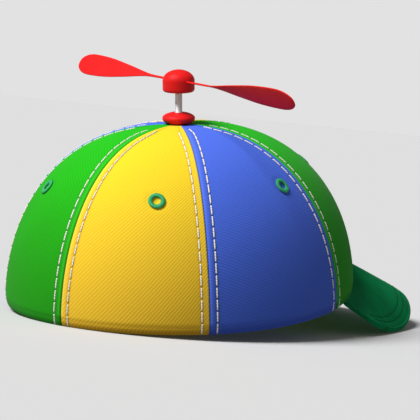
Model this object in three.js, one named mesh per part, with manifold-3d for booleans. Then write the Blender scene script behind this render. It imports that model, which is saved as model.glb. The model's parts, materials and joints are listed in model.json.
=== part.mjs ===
// Propeller beanie: a six-panel cloth cap with a drooping peak, six sewn eyelets, a button,
// and a two-bladed propeller that spins on a short metal shaft above the crown.
// Millimetres, +Z up. The cap rests on its rear rim and on the two low sides of its peak,
// with the peak towards -Y. The origin is at the middle of the footprint, on the surface.

import * as THREE from "three";
import { mergeVertices } from "three/addons/utils/BufferGeometryUtils.js";
import Module from "manifold-3d";

const wasm = await Module();
wasm.setup();

// Crown
const CROWN_WIDTH = 164;
const CROWN_LENGTH = 206.2;
const CROWN_HEIGHT = 88.2;
// How far the middle of the rim lies ahead of the shaft
const CROWN_FORWARD_SHIFT = 3.9;
// Powers of the crown's section: 2 is a plain ellipse, more is fuller
const SHOULDER_POWER = { side: 2.5, frontChange: -0.24 };
const DOME_POWER = { side: 2.02, frontChange: 0.16 };
// The rim isn't flat: it rises at the back and dips at the sides
const RIM_BACK_RISE = 2.2;
const RIM_SIDE_DIP = 2.0;
const CLOTH_THICKNESS = 1.6;
const HEM_THICKNESS = 3.2;
const HEM_HEIGHT = 12;
// Height over which the hem's thickness runs out into the cloth, as a share of the hem's height
const HEM_BLEND_SHARE = 0.25;
const SEAM_GAP = 0.3;
// The seams lean away from the upright planes through the shaft, which narrows the gap across them
const SEAM_LEAN = 1.12;
const SHAFT_HOLE_CLEARANCE = 0.6;

// Places of the seams, in degrees from the middle of the front
const FRONT_SEAM_ANGLE = 80;
const REAR_SEAM_ANGLE = 131.5;

// Places of the eyelets, in the same degrees
const FRONT_EYELET_ANGLE = 31;
const SIDE_EYELET_ANGLE = 92.6;
const REAR_EYELET_ANGLE = 149.5;

// Colours and gloss
const YELLOW = 0xf2cc2a;
const BLUE = 0x3f5cc8;
const GREEN = 0x2fa826;
const DARK_GREEN = 0x0d5c34;
const THREAD_GREEN = 0x1f9a58;
const RED = 0xe02828;
const SILVER = 0xb9c0bf;
const CLOTH_ROUGHNESS = 0.9;
const PLASTIC_ROUGHNESS = 0.35;
const METAL_ROUGHNESS = 0.35;
const METALNESS = 0.9;

// One row for each panel of the wearer's left half, from the front to the back,
// with its seams, its eyelet, its colour and the colour of the panel across from it
const HALF_PANELS = [
  {
    place: "front",
    from: 0,
    to: FRONT_SEAM_ANGLE,
    eyelet: FRONT_EYELET_ANGLE,
    left: YELLOW,
    right: GREEN,
  },
  {
    place: "side",
    from: FRONT_SEAM_ANGLE,
    to: REAR_SEAM_ANGLE,
    eyelet: SIDE_EYELET_ANGLE,
    left: BLUE,
    right: BLUE,
  },
  {
    place: "rear",
    from: REAR_SEAM_ANGLE,
    to: 180,
    eyelet: REAR_EYELET_ANGLE,
    left: GREEN,
    right: YELLOW,
  },
];
const PANELS = HALF_PANELS.flatMap(({ place, from, to, eyelet, left, right }) => [
  { name: place + "_left", from, to, eyelet, colour: left },
  { name: place + "_right", from: 360 - to, to: 360 - from, eyelet: 360 - eyelet, colour: right },
]);

// Peak
const PEAK_LENGTH = 47;
const PEAK_SIDE_OVERHANG = 2.6;
const PEAK_THICKNESS = 3.6;
const PEAK_DROOP_ANGLE = 31;
const PEAK_CORNER_ANGLE = 83;
const PEAK_RISE_AT_CROWN = 7.5;
const PEAK_SIDE_LEVEL = -1.3;
// At both ends of the seam the peak runs out to a narrow, thin corner
const PEAK_END_WIDTH = 1.5;
const PEAK_END_THICKNESS = 0.54;
// Power of the outline seen from above, and of the arch from side to side
const PEAK_OUTLINE_POWER = 3.05;
const PEAK_ARCH_POWER = 4.6;
const PEAK_SEAM_CLEARANCE = 0.3;
// Degrees round the rim from the middle of the front: where the seam starts to go down over the
// hem, where it reaches the hem's foot, and where it ends
const PEAK_HIGH_SEAM_ANGLE = 26;
const PEAK_LOW_SEAM_ANGLE = 50;
const PEAK_SEAM_END_ANGLE = 73;
// Shares of the way from the middle to a corner: the edge turns back to the rim, the board thins
// out, the arch's bulge fades, and the seam's height is felt over the whole width
const PEAK_EDGE_SHARE = 0.9;
const PEAK_THINNING_SHARE = 0.88;
const PEAK_BULGE_FADE = { from: 0.55, to: 0.9 };
const PEAK_NEAR_FADE = { from: 0.45, to: 0.8 };
// Power with which the seam's height dies out ahead of it, in the middle
const PEAK_NEAR_POWER = 2.5;

// Eyelets
const EYELET_DIAMETER = 8.2;
const EYELET_RING_WIDTH = 2.1;
const EYELET_RING_HEIGHT = 1.1;
const EYELET_HEIGHT_SHARE = 0.71;

// Button, shaft and washer
const SHAFT_DIAMETER = 3.6;
const SHAFT_SHOWN = 10.1;
const SHAFT_IN_HUB = 7.6;
const BUTTON_DIAMETER = 16.6;
const BUTTON_HEIGHT = 5.8;
const BUTTON_SEAT_SHARE = 0.62;
const BUTTON_WIDEST_SHARE = 0.45;
const WASHER_DIAMETER = 13;
const WASHER_THICKNESS = 1.2;
// The inner face of the crown falls away from the shaft, so the washer hangs a little lower
const WASHER_CLEARANCE = 0.5;
const FIT_CLEARANCE = 0.3;

// Propeller
const HUB_DIAMETER = 16.2;
const HUB_HEIGHT = 11.3;
const HUB_DOME_HEIGHT = 5.6;
const HUB_EDGE_RADIUS = 1.6;
const BLADE_REACH = 94;
const BLADE_ROOT_RADIUS = 3.4;
const BLADE_THICKNESS = 0.9;
const BLADE_ROOT_CHORD = 2.2;
const BLADE_WIDEST_CHORD = 12.1;
const BLADE_ROOT_PITCH = 3;
const BLADE_TIP_PITCH = 60;
// Direction of the first blade, in degrees from the wearer's left towards the back
const PROPELLER_TURN = 159;
// Chord and twist along the blade, as shares of the widest chord's rise and of the full twist
const BLADE_SECTIONS = [
  { reach: 0, chord: 0, twist: 0 },
  { reach: 0.1, chord: 0.01, twist: 0.01 },
  { reach: 0.19, chord: 0.05, twist: 0.08 },
  { reach: 0.3, chord: 0.21, twist: 0.5 },
  { reach: 0.41, chord: 0.44, twist: 0.77 },
  { reach: 0.52, chord: 0.65, twist: 0.9 },
  { reach: 0.63, chord: 0.85, twist: 0.97 },
  { reach: 0.75, chord: 0.97, twist: 1 },
  { reach: 1, chord: 1, twist: 1 },
];
// The last share of the blade's reach that is taken by its round tip
const BLADE_TIP_SHARE = 0.16;
const BLADE_TIP_POWER = 2.4;
// Width of the blunt end of the tip, as a share of the chord
const BLADE_END_SHARE = 0.12;

// Fineness of the curved surfaces
const CROWN_ROWS = 18;
// Below 1, the rows stand closer together towards the rim
const CROWN_ROW_POWER = 0.85;
const HEM_STEPS = 4;
const DEGREES_PER_COLUMN = 9;
const PEAK_COLUMNS = 44;
const PEAK_ROWS = 7;
const PEAK_EDGE_STEPS = 4;
const EYELET_SIDES = 6;
const EYELET_SEGMENTS = 20;
const BLADE_STEPS = 26;
const ROUND_SEGMENTS = 32;
const ARC_STEPS = 6;
const HALVINGS = 40;

const toRadians = THREE.MathUtils.degToRad;

function material(colour, roughness, metalness = 0) {
  return new THREE.MeshStandardMaterial({ color: colour, roughness, metalness });
}

function namedMesh(name, geometry, look) {
  const mesh = new THREE.Mesh(geometry, look);
  mesh.name = name;
  return mesh;
}

// A closed surface from equal rings of points: each ring joins the next,
// and the first and last rings are closed by fans or by ladders across them.
function skinRings(rings, ladder) {
  const count = rings[0].length;
  const positions = rings.flat().flatMap((p) => [p.x, p.y, p.z]);
  const faces = [];
  for (let i = 0; i + 1 < rings.length; i += 1) {
    for (let j = 0; j < count; j += 1) {
      const a = i * count + j;
      const b = i * count + ((j + 1) % count);
      faces.push(a, b, a + count, b, b + count, a + count);
    }
  }
  const last = (rings.length - 1) * count;
  if (ladder) {
    for (let j = 0; j + 1 < count / 2; j += 1) {
      const near = j;
      const far = count - 1 - j;
      faces.push(near, far, near + 1, near + 1, far, far - 1);
      faces.push(last + near, last + near + 1, last + far);
      faces.push(last + near + 1, last + far - 1, last + far);
    }
  } else {
    for (let j = 1; j + 1 < count; j += 1) {
      faces.push(0, j + 1, j);
      faces.push(last, last + j, last + j + 1);
    }
  }
  return faceOutwards(positions, faces);
}

// An indexed geometry whose faces point out of the body that they close
function faceOutwards(positions, faces) {
  let volume = 0;
  const corner = (k) => new THREE.Vector3().fromArray(positions, 3 * faces[k]);
  for (let k = 0; k < faces.length; k += 3) {
    volume += corner(k).dot(corner(k + 1).cross(corner(k + 2)));
  }
  const geometry = new THREE.BufferGeometry();
  geometry.setAttribute("position", new THREE.Float32BufferAttribute(positions, 3));
  geometry.setIndex(volume < 0 ? [...faces].reverse() : faces);
  geometry.computeVertexNormals();
  return geometry;
}

// Crown surface: a point of the outer face and the face's direction in its upright plane.
// The angle goes round from the front, and the share goes from the top (0) to the rim (1).
function crownSection(angle, share) {
  const front = Math.cos(angle);
  const turn = (share * Math.PI) / 2;
  const shoulder = SHOULDER_POWER.side + SHOULDER_POWER.frontChange * front;
  const dome = DOME_POWER.side + DOME_POWER.frontChange * front;
  const reach = Math.sin(turn) ** (2 / shoulder);
  const hemRadius = HEM_THICKNESS / 2;
  const rise = Math.max(Math.cos(turn), 0) ** (2 / dome) * (CROWN_HEIGHT - hemRadius);
  const wave = RIM_BACK_RISE * front - RIM_SIDE_DIP * Math.cos(2 * angle);
  const x = (CROWN_WIDTH / 2) * reach * Math.sin(angle);
  const y = -((CROWN_LENGTH / 2) * front + CROWN_FORWARD_SHIFT) * reach;
  return { x, y, z: hemRadius + rise - wave * reach * reach };
}

function crownPoint(angle, share) {
  const p = crownSection(angle, share);
  return new THREE.Vector3(p.x, p.y, p.z);
}

// Direction out of the cloth, in the upright plane through the shaft's axis
function crownOutward(angle, share) {
  const step = 0.002;
  const upper = crownPoint(angle, Math.max(share - step, 1e-4));
  const lower = crownPoint(angle, Math.min(share + step, 1));
  const along = lower.clone().sub(upper);
  const sideways = new THREE.Vector3(-lower.y, lower.x, 0).normalize();
  return sideways.cross(along).normalize().negate();
}

// Share at which the crown's reach from the axis equals a small radius
function shareAtRadius(radius) {
  const reach = radius / (CROWN_WIDTH / 2);
  return (2 / Math.PI) * Math.asin(reach ** (SHOULDER_POWER.side / 2));
}

const topShare = shareAtRadius(SHAFT_DIAMETER / 2 + SHAFT_HOLE_CLEARANCE);

// Wall thickness below the outer face: thicker over the turned-up hem
function wallAt(point) {
  const start = HEM_HEIGHT * (1 - HEM_BLEND_SHARE);
  const end = HEM_HEIGHT * (1 + HEM_BLEND_SHARE);
  const pastHem = THREE.MathUtils.smoothstep(point.z, start, end);
  return THREE.MathUtils.lerp(HEM_THICKNESS, CLOTH_THICKNESS, pastHem);
}

// The closed outline of a panel's cloth in one upright plane:
// down the outer face, round the hem, and up the inner face
function panelRing(position, from, to) {
  const outer = [];
  const inner = [];
  for (let i = 0; i <= CROWN_ROWS; i += 1) {
    const share = THREE.MathUtils.lerp(topShare, 1, (i / CROWN_ROWS) ** CROWN_ROW_POWER);
    const middle = crownPoint((from + to) / 2, share);
    const slack = (SEAM_LEAN * SEAM_GAP) / 2 / Math.hypot(middle.x, middle.y);
    const angle = THREE.MathUtils.lerp(from + slack, to - slack, position);
    const point = crownPoint(angle, share);
    const outward = crownOutward(angle, share);
    outer.push(point);
    inner.push(point.clone().addScaledVector(outward, -wallAt(point)));
  }
  const rimOut = outer[CROWN_ROWS];
  const rimIn = inner[CROWN_ROWS];
  const centre = rimOut.clone().add(rimIn).multiplyScalar(0.5);
  const across = rimOut.clone().sub(centre);
  const down = new THREE.Vector3(0, 0, -across.length());
  const hem = [];
  for (let k = 1; k < HEM_STEPS; k += 1) {
    const turn = (Math.PI * k) / HEM_STEPS;
    hem.push(
      centre.clone().addScaledVector(across, Math.cos(turn)).addScaledVector(down, Math.sin(turn)),
    );
  }
  return [...outer, ...hem, ...inner.reverse()];
}

function panelGeometry(panel) {
  const from = toRadians(panel.from);
  const to = toRadians(panel.to);
  const columns = Math.round((panel.to - panel.from) / DEGREES_PER_COLUMN);
  const rings = [];
  for (let i = 0; i <= columns; i += 1) rings.push(panelRing(i / columns, from, to));
  return skinRings(rings, true);
}

// Peak: ruled from the rim of the crown to its own rounded outline
const seamHalfWidth = CROWN_WIDTH / 2 + PEAK_SEAM_CLEARANCE;
const seamHalfLength = CROWN_LENGTH / 2 + PEAK_SEAM_CLEARANCE;

// How far ahead of the shaft the seam with the crown lies, at a distance to one side
function rimAhead(side) {
  return seamHalfLength * Math.sqrt(1 - (side / seamHalfWidth) ** 2) + CROWN_FORWARD_SHIFT;
}

const peakCorner = {
  side: seamHalfWidth * Math.sin(toRadians(PEAK_CORNER_ANGLE)),
  ahead: seamHalfLength * Math.cos(toRadians(PEAK_CORNER_ANGLE)) + CROWN_FORWARD_SHIFT,
};
const peakHalfWidth = peakCorner.side + PEAK_SIDE_OVERHANG;
const crownFront = rimAhead(0);

// How far the sheet has dropped at a place seen from above
function peakDrop(ahead, side) {
  const arch = (crownFront - peakCorner.ahead) * Math.abs(side / peakHalfWidth) ** PEAK_ARCH_POWER;
  return Math.tan(toRadians(PEAK_DROOP_ANGLE)) * (ahead - (crownFront - arch));
}

// Where the edge lies at a heading from -1 to 1, as shares of its widest and longest reach:
// a superellipse about a point between the corners
function peakOutline(across) {
  const heading = (across * PEAK_EDGE_SHARE * Math.PI) / 2;
  const forward = Math.cos(heading);
  const sideways = Math.sin(heading);
  const power = PEAK_OUTLINE_POWER;
  const stretch = (forward ** power + Math.abs(sideways) ** power) ** (-1 / power);
  return { sideways: sideways * stretch, forward: forward * stretch };
}

// A place beside the rim, at an angle round it, a distance outside it and a height
function besideRim(angle, outside, level) {
  return {
    side: (seamHalfWidth + outside) * Math.sin(angle),
    ahead: (seamHalfLength + outside) * Math.cos(angle) + CROWN_FORWARD_SHIFT,
    level,
  };
}

// Both ends of a line across the peak: on its seam with the crown, and on its edge.
// The seam lies over the hem in the middle and beside the rim's foot at the sides.
function peakEnds(across) {
  const outline = peakOutline(across);
  const end = toRadians(PEAK_SEAM_END_ANGLE);
  const angle = (end * Math.asin(outline.sideways)) / Math.asin(peakOutline(1).sideways);
  const below = THREE.MathUtils.smoothstep(
    Math.abs(angle),
    toRadians(PEAK_HIGH_SEAM_ANGLE),
    toRadians(PEAK_LOW_SEAM_ANGLE),
  );
  const seam = besideRim(angle, 0, THREE.MathUtils.lerp(PEAK_RISE_AT_CROWN, PEAK_SIDE_LEVEL, below));
  const side = peakHalfWidth * outline.sideways;
  const ahead = peakCorner.ahead + (crownFront + PEAK_LENGTH - peakCorner.ahead) * outline.forward;
  const last = besideRim(end * Math.sign(across), PEAK_END_WIDTH, PEAK_SIDE_LEVEL);
  const turnBack = THREE.MathUtils.smoothstep(Math.abs(across), PEAK_EDGE_SHARE, 1);
  const edge = {
    side: THREE.MathUtils.lerp(side, last.side, turnBack),
    ahead: THREE.MathUtils.lerp(ahead, last.ahead, turnBack),
    level: THREE.MathUtils.lerp(PEAK_RISE_AT_CROWN - peakDrop(ahead, side), last.level, turnBack),
  };
  return { seam, edge };
}

// Top face of the peak: across goes from -1 to 1, and out from the crown (0) to the edge (1).
// The height is an even mix of both ends', plus the arch's own bulge, which fades at the sides.
// In the middle the height of the seam is felt only close to the crown.
function peakPoint(across, out) {
  const { seam, edge } = peakEnds(across);
  const share = Math.abs(across);
  const side = THREE.MathUtils.lerp(seam.side, edge.side, out);
  const ahead = THREE.MathUtils.lerp(seam.ahead, edge.ahead, out);
  const ends = THREE.MathUtils.lerp(
    peakDrop(seam.ahead, seam.side),
    peakDrop(edge.ahead, edge.side),
    out,
  );
  const fading = THREE.MathUtils.smoothstep(share, PEAK_BULGE_FADE.from, PEAK_BULGE_FADE.to);
  const bulge = (ends - peakDrop(ahead, side)) * (1 - fading);
  const spread = THREE.MathUtils.smoothstep(share, PEAK_NEAR_FADE.from, PEAK_NEAR_FADE.to);
  const nearPower = THREE.MathUtils.lerp(PEAK_NEAR_POWER, 1, spread);
  const near = (seam.level - PEAK_RISE_AT_CROWN) * (1 - out) ** nearPower;
  const level = THREE.MathUtils.lerp(PEAK_RISE_AT_CROWN, edge.level, out) + near + bulge;
  return new THREE.Vector3(side, -ahead, level);
}

function peakGeometry() {
  const rings = [];
  for (let i = 0; i <= PEAK_COLUMNS; i += 1) {
    const across = -1 + (2 * i) / PEAK_COLUMNS;
    const thinning = THREE.MathUtils.smoothstep(Math.abs(across), PEAK_THINNING_SHARE, 1);
    const thickness = THREE.MathUtils.lerp(PEAK_THICKNESS, PEAK_END_THICKNESS, thinning);
    const top = [];
    const bottom = [];
    for (let j = 0; j <= PEAK_ROWS; j += 1) {
      const point = peakPoint(across, j / PEAK_ROWS);
      top.push(point);
      bottom.push(point.clone().setZ(point.z - thickness));
    }
    const outerTop = top[PEAK_ROWS];
    const outwards = outerTop
      .clone()
      .sub(top[PEAK_ROWS - 1])
      .setZ(0)
      .normalize();
    const radius = thickness / 2;
    const edge = [];
    for (let k = 1; k < PEAK_EDGE_STEPS; k += 1) {
      const turn = (Math.PI * k) / PEAK_EDGE_STEPS;
      const point = outerTop.clone().addScaledVector(outwards, radius * Math.sin(turn));
      point.z -= radius * (1 - Math.cos(turn));
      edge.push(point);
    }
    rings.push([...top, ...edge, ...bottom.reverse()]);
  }
  return skinRings(rings, false);
}

// Eyelet: a flattened ring that lies on the cloth
function eyeletMesh(panel) {
  const angle = toRadians(panel.eyelet);
  let low = 0;
  let high = 1;
  for (let i = 0; i < HALVINGS; i += 1) {
    const middle = (low + high) / 2;
    if (crownPoint(angle, middle).z > EYELET_HEIGHT_SHARE * CROWN_HEIGHT) low = middle;
    else high = middle;
  }
  const step = 0.01;
  const point = crownPoint(angle, low);
  const along = crownPoint(angle, low + step).sub(crownPoint(angle, low - step));
  const round = crownPoint(angle + step, low).sub(crownPoint(angle - step, low));
  const outward = along.cross(round).normalize();
  if (outward.dot(point.clone().setZ(0)) < 0) outward.negate();
  const ring = new THREE.TorusGeometry(
    (EYELET_DIAMETER - EYELET_RING_WIDTH) / 2,
    EYELET_RING_WIDTH / 2,
    EYELET_SIDES,
    EYELET_SEGMENTS,
  );
  ring.scale(1, 1, EYELET_RING_HEIGHT / EYELET_RING_WIDTH);
  const mesh = namedMesh("eyelet_" + panel.name, ring, material(THREAD_GREEN, CLOTH_ROUGHNESS));
  mesh.quaternion.setFromUnitVectors(new THREE.Vector3(0, 0, 1), outward);
  mesh.position.copy(point).addScaledVector(outward, EYELET_RING_HEIGHT / 2 + FIT_CLEARANCE);
  return mesh;
}

// A solid of revolution about Z from a profile of radius and height pairs that starts and ends on the axis
function turned(profile) {
  const points = profile.map(([radius, height]) => new THREE.Vector2(radius, height));
  const geometry = new THREE.LatheGeometry(points, ROUND_SEGMENTS);
  return geometry.rotateX(Math.PI / 2);
}

// An arc of an ellipse with the given half axes and centre, between two turns from its widest point
function arc(half, centre, fromTurn, toTurn) {
  const points = [];
  for (let i = 0; i <= ARC_STEPS; i += 1) {
    const turn = THREE.MathUtils.lerp(fromTurn, toTurn, i / ARC_STEPS);
    points.push([centre[0] + half[0] * Math.cos(turn), centre[1] + half[1] * Math.sin(turn)]);
  }
  return points;
}

function solidFrom(geometry) {
  const plain = geometry.clone();
  plain.deleteAttribute("normal");
  plain.deleteAttribute("uv");
  const merged = mergeVertices(plain, 1e-4);
  return new wasm.Manifold(
    new wasm.Mesh({
      numProp: 3,
      vertProperties: merged.attributes.position.array,
      triVerts: new Uint32Array(merged.index.array),
    }),
  );
}

function geometryFrom(solid) {
  const made = solid.getMesh();
  const geometry = new THREE.BufferGeometry();
  geometry.setAttribute("position", new THREE.BufferAttribute(made.vertProperties, 3));
  geometry.setIndex(new THREE.BufferAttribute(made.triVerts, 1));
  geometry.computeVertexNormals();
  return geometry;
}

const buttonBottom = CROWN_HEIGHT + FIT_CLEARANCE;
const buttonTop = buttonBottom + BUTTON_HEIGHT;
const hubBottom = buttonTop + SHAFT_SHOWN;
const shaftTop = hubBottom + SHAFT_IN_HUB;
const boreRadius = SHAFT_DIAMETER / 2 + FIT_CLEARANCE;
// The blades join the hub where its straight side turns into the dome
const hubDomeBase = HUB_HEIGHT - HUB_DOME_HEIGHT;
const washerTop = CROWN_HEIGHT - CLOTH_THICKNESS - WASHER_CLEARANCE;

function buttonGeometry() {
  const radius = BUTTON_DIAMETER / 2;
  const widest = BUTTON_HEIGHT * BUTTON_WIDEST_SHARE;
  const seat = radius * BUTTON_SEAT_SHARE;
  const underside = arc([radius - seat, widest], [seat, widest], -Math.PI / 2, 0);
  const boreTurn = Math.acos(boreRadius / radius);
  const cushion = arc([radius, BUTTON_HEIGHT - widest], [0, widest], 0, boreTurn);
  return turned([[boreRadius, 0], ...underside, ...cushion.slice(1), [boreRadius, 0]]);
}

function shaftGeometry() {
  const radius = SHAFT_DIAMETER / 2;
  const washer = WASHER_DIAMETER / 2;
  return turned([
    [0, washerTop - WASHER_THICKNESS],
    [washer, washerTop - WASHER_THICKNESS],
    [washer, washerTop],
    [radius, washerTop],
    [radius, shaftTop],
    [0, shaftTop],
  ]);
}

function hubGeometry() {
  const radius = HUB_DIAMETER / 2;
  const edge = HUB_EDGE_RADIUS;
  const boreDepth = SHAFT_IN_HUB + FIT_CLEARANCE;
  const body = turned([
    [0, boreDepth],
    [boreRadius, boreDepth],
    [boreRadius, 0],
    ...arc([edge, edge], [radius - edge, edge], -Math.PI / 2, 0),
    ...arc([radius, HUB_DOME_HEIGHT], [0, hubDomeBase], 0, Math.PI / 2),
  ]);
  let solid = solidFrom(body);
  const slotStart = BLADE_ROOT_RADIUS - FIT_CLEARANCE;
  const slotLength = HUB_DIAMETER;
  for (const side of [0, Math.PI]) {
    const slot = new THREE.BoxGeometry(
      slotLength,
      BLADE_ROOT_CHORD + 2 * FIT_CLEARANCE,
      BLADE_THICKNESS + 2 * FIT_CLEARANCE,
    );
    slot.rotateX(-toRadians(BLADE_ROOT_PITCH));
    slot.translate(slotStart + slotLength / 2, 0, hubDomeBase);
    slot.rotateZ(side);
    solid = solid.subtract(solidFrom(slot));
  }
  return geometryFrom(solid);
}

// Chord and twist at a share of the blade's reach, between the table's rows
function bladeSection(share) {
  const next = BLADE_SECTIONS.findIndex((row) => row.reach >= share) || 1;
  const a = BLADE_SECTIONS[next - 1];
  const b = BLADE_SECTIONS[next];
  const mix = (share - a.reach) / (b.reach - a.reach);
  return {
    chord: THREE.MathUtils.lerp(a.chord, b.chord, mix),
    twist: THREE.MathUtils.lerp(a.twist, b.twist, mix),
  };
}

function bladeGeometry() {
  const half = BLADE_THICKNESS / 2;
  const hubEdge = HUB_DIAMETER / 2 + FIT_CLEARANCE;
  const rings = [];
  const stations = [BLADE_ROOT_RADIUS];
  for (let i = 0; i <= BLADE_STEPS; i += 1) {
    const out = Math.sin((Math.PI / 2) * (i / BLADE_STEPS));
    stations.push(THREE.MathUtils.lerp(hubEdge, BLADE_REACH, out));
  }
  for (const station of stations) {
    const share = THREE.MathUtils.clamp((station - hubEdge) / (BLADE_REACH - hubEdge), 0, 1);
    const row = bladeSection(share);
    const tip = THREE.MathUtils.clamp(1 - (1 - share) / BLADE_TIP_SHARE, 0, 1);
    const round = Math.max(Math.sqrt(1 - tip ** BLADE_TIP_POWER), BLADE_END_SHARE);
    const chord = THREE.MathUtils.lerp(BLADE_ROOT_CHORD, BLADE_WIDEST_CHORD, row.chord) * round;
    const pitch = THREE.MathUtils.lerp(BLADE_ROOT_PITCH, BLADE_TIP_PITCH, row.twist);
    const angle = -toRadians(pitch);
    const ring = [
      [-chord / 2, -half],
      [chord / 2, -half],
      [chord / 2, half],
      [-chord / 2, half],
    ];
    const turnedRing = ring.map(([along, up]) => {
      const y = along * Math.cos(angle) - up * Math.sin(angle);
      const z = along * Math.sin(angle) + up * Math.cos(angle);
      return new THREE.Vector3(station, y, z);
    });
    rings.push(turnedRing);
  }
  return skinRings(rings, false);
}

// The cap upright on its rim plane
const cap = new THREE.Group();
for (const panel of PANELS) {
  const name = "crown_panel_" + panel.name;
  cap.add(namedMesh(name, panelGeometry(panel), material(panel.colour, CLOTH_ROUGHNESS)));
}
for (const panel of PANELS) cap.add(eyeletMesh(panel));
cap.add(namedMesh("peak", peakGeometry(), material(DARK_GREEN, CLOTH_ROUGHNESS)));

const redPlastic = material(RED, PLASTIC_ROUGHNESS);
const button = namedMesh("button", buttonGeometry(), redPlastic.clone());
button.position.z = buttonBottom;
cap.add(button);
cap.add(namedMesh("shaft", shaftGeometry(), material(SILVER, METAL_ROUGHNESS, METALNESS)));

const propeller = new THREE.Group();
propeller.position.z = hubBottom;
propeller.rotation.z = toRadians(PROPELLER_TURN);
propeller.add(namedMesh("propeller_hub", hubGeometry(), redPlastic.clone()));
for (const [name, side] of [
  ["propeller_blade_1", 0],
  ["propeller_blade_2", Math.PI],
]) {
  const blade = namedMesh(name, bladeGeometry(), redPlastic.clone());
  blade.position.z = hubDomeBase;
  blade.rotation.z = side;
  propeller.add(blade);
}
cap.add(propeller);

// All corners of the cloth in a mesh that can touch the surface
function corners(mesh) {
  const place = mesh.geometry.getAttribute("position");
  const points = [];
  for (let i = 0; i < place.count; i += 1) {
    points.push(new THREE.Vector3().fromBufferAttribute(place, i).applyMatrix4(mesh.matrixWorld));
  }
  return points;
}

// Height of the lowest corner once the front is raised by an angle
function lowest(points, tilt) {
  return Math.min(...points.map((p) => p.z * Math.cos(tilt) - p.y * Math.sin(tilt)));
}

// The cap settles where its rear rim and its peak are equally low
cap.updateMatrixWorld(true);
const rimPoints = cap.children.filter((m) => m.name.startsWith("crown_panel")).flatMap(corners);
const peakPoints = corners(cap.children.find((m) => m.name === "peak"));
let level = 0;
let steep = Math.PI / 4;
for (let i = 0; i < HALVINGS; i += 1) {
  const middle = (level + steep) / 2;
  if (lowest(peakPoints, middle) < lowest(rimPoints, middle)) level = middle;
  else steep = middle;
}
const restTilt = level;

const tilted = new THREE.Group();
tilted.rotation.x = -restTilt;
tilted.add(cap);
tilted.updateMatrixWorld(true);
const footprint = new THREE.Box3().setFromObject(tilted, true);
const centre = footprint.getCenter(new THREE.Vector3());
tilted.position.set(-centre.x, -centre.y, -footprint.min.z);

const beanie = new THREE.Group();
beanie.add(tilted);

export default beanie;
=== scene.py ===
# %% [markdown]
# # A propeller beanie
#
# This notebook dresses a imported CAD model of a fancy-dress classic: a six-panel cotton cap with a
# drooping peak, sewn eyelets, a button on top, and a propeller that spins on a short metal shaft.
# The CAD model already has every size and place. Here each piece gets the form and the finish that
# the real one has: twill ridges, pressed seams with their stitches, a rolled hem and moulded plastic.

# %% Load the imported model
import json

import bmesh
import bpy
import numpy as np
from mathutils import Matrix, Vector


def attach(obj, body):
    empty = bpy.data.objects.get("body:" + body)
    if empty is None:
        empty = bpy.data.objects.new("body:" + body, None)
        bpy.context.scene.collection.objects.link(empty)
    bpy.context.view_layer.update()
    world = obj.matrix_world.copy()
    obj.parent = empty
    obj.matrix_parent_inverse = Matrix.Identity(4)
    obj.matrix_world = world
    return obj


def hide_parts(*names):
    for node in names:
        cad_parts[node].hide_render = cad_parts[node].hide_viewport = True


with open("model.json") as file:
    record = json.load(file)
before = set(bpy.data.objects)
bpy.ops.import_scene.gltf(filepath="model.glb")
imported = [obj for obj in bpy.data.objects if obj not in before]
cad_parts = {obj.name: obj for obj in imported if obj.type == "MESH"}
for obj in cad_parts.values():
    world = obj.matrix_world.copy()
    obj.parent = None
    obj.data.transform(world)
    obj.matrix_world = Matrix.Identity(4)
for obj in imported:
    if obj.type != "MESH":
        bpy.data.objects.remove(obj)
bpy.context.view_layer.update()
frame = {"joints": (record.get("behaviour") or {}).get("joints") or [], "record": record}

# %% [markdown]
# ## Where the cap rests
#
# A cap is drawn most easily upright on its own rim, with the shaft along Z. On a table it leans
# back, because the peak props up the front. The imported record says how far: the propeller's axis
# gives the lean, and the head opening's mount gives the middle of the rim. So every shape below is
# worked out upright, in millimetres, and one function sets it down where the real cap rests.

# %% Set down an upright shape
shaft_axis = np.array(frame["joints"][0]["axis"], float)
rim_centre = np.array(frame["record"]["mounts"][0]["pos_m"], float)


def set_down(points):
    """Metres at rest from upright millimetres.

    Height and depth turn about X by the shaft's lean, and the rim's middle moves into place.
    """
    x, y, z = np.moveaxis(np.asarray(points, float), -1, 0)
    lean, upright = shaft_axis[1], shaft_axis[2]
    return np.stack([x, y * upright + z * lean, z * upright - y * lean], -1) * 0.001 + rim_centre


print("The cap leans back by", round(float(np.degrees(np.arcsin(shaft_axis[1]))), 2), "degrees")

# %% [markdown]
# ## From a grid of points to a mesh
#
# Nearly every piece here is a grid of points: rows one way, columns the other. A tube is a grid
# whose columns close on themselves, and a hollow shell is a grid whose rows go down the outside,
# round the edge and up the inside. One function joins such a grid into faces, and another welds the
# poles, closes what is still open, and turns all the faces outwards. Whole arrays go in at once,
# which is much quicker than adding one vertex at a time.

# %% Join a grid into a closed mesh
WELD_DISTANCE = 2e-6  # metres


def finished_mesh(name, points, faces, cloth=None, crease=None):
    """A smooth mesh from upright millimetres: points that meet are welded, holes are closed."""
    mesh = bpy.data.meshes.new(name)
    mesh.from_pydata(set_down(points).reshape(-1, 3).tolist(), [], faces.tolist())
    if cloth is not None:
        layer = mesh.uv_layers.new(name="cloth")
        layer.data.foreach_set("uv", cloth.reshape(-1, 2)[faces.ravel()].ravel())
    if crease is not None:
        attribute = mesh.attributes.new("crease", "FLOAT", "POINT")
        attribute.data.foreach_set("value", crease.ravel())
    shell = bmesh.new()
    shell.from_mesh(mesh)
    bmesh.ops.remove_doubles(shell, verts=shell.verts, dist=WELD_DISTANCE)
    bmesh.ops.holes_fill(shell, edges=[edge for edge in shell.edges if edge.is_boundary], sides=0)
    bmesh.ops.recalc_face_normals(shell, faces=shell.faces)
    shell.to_mesh(mesh)
    shell.free()
    mesh.polygons.foreach_set("use_smooth", np.ones(len(mesh.polygons), bool))
    mesh.update()
    return mesh


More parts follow.
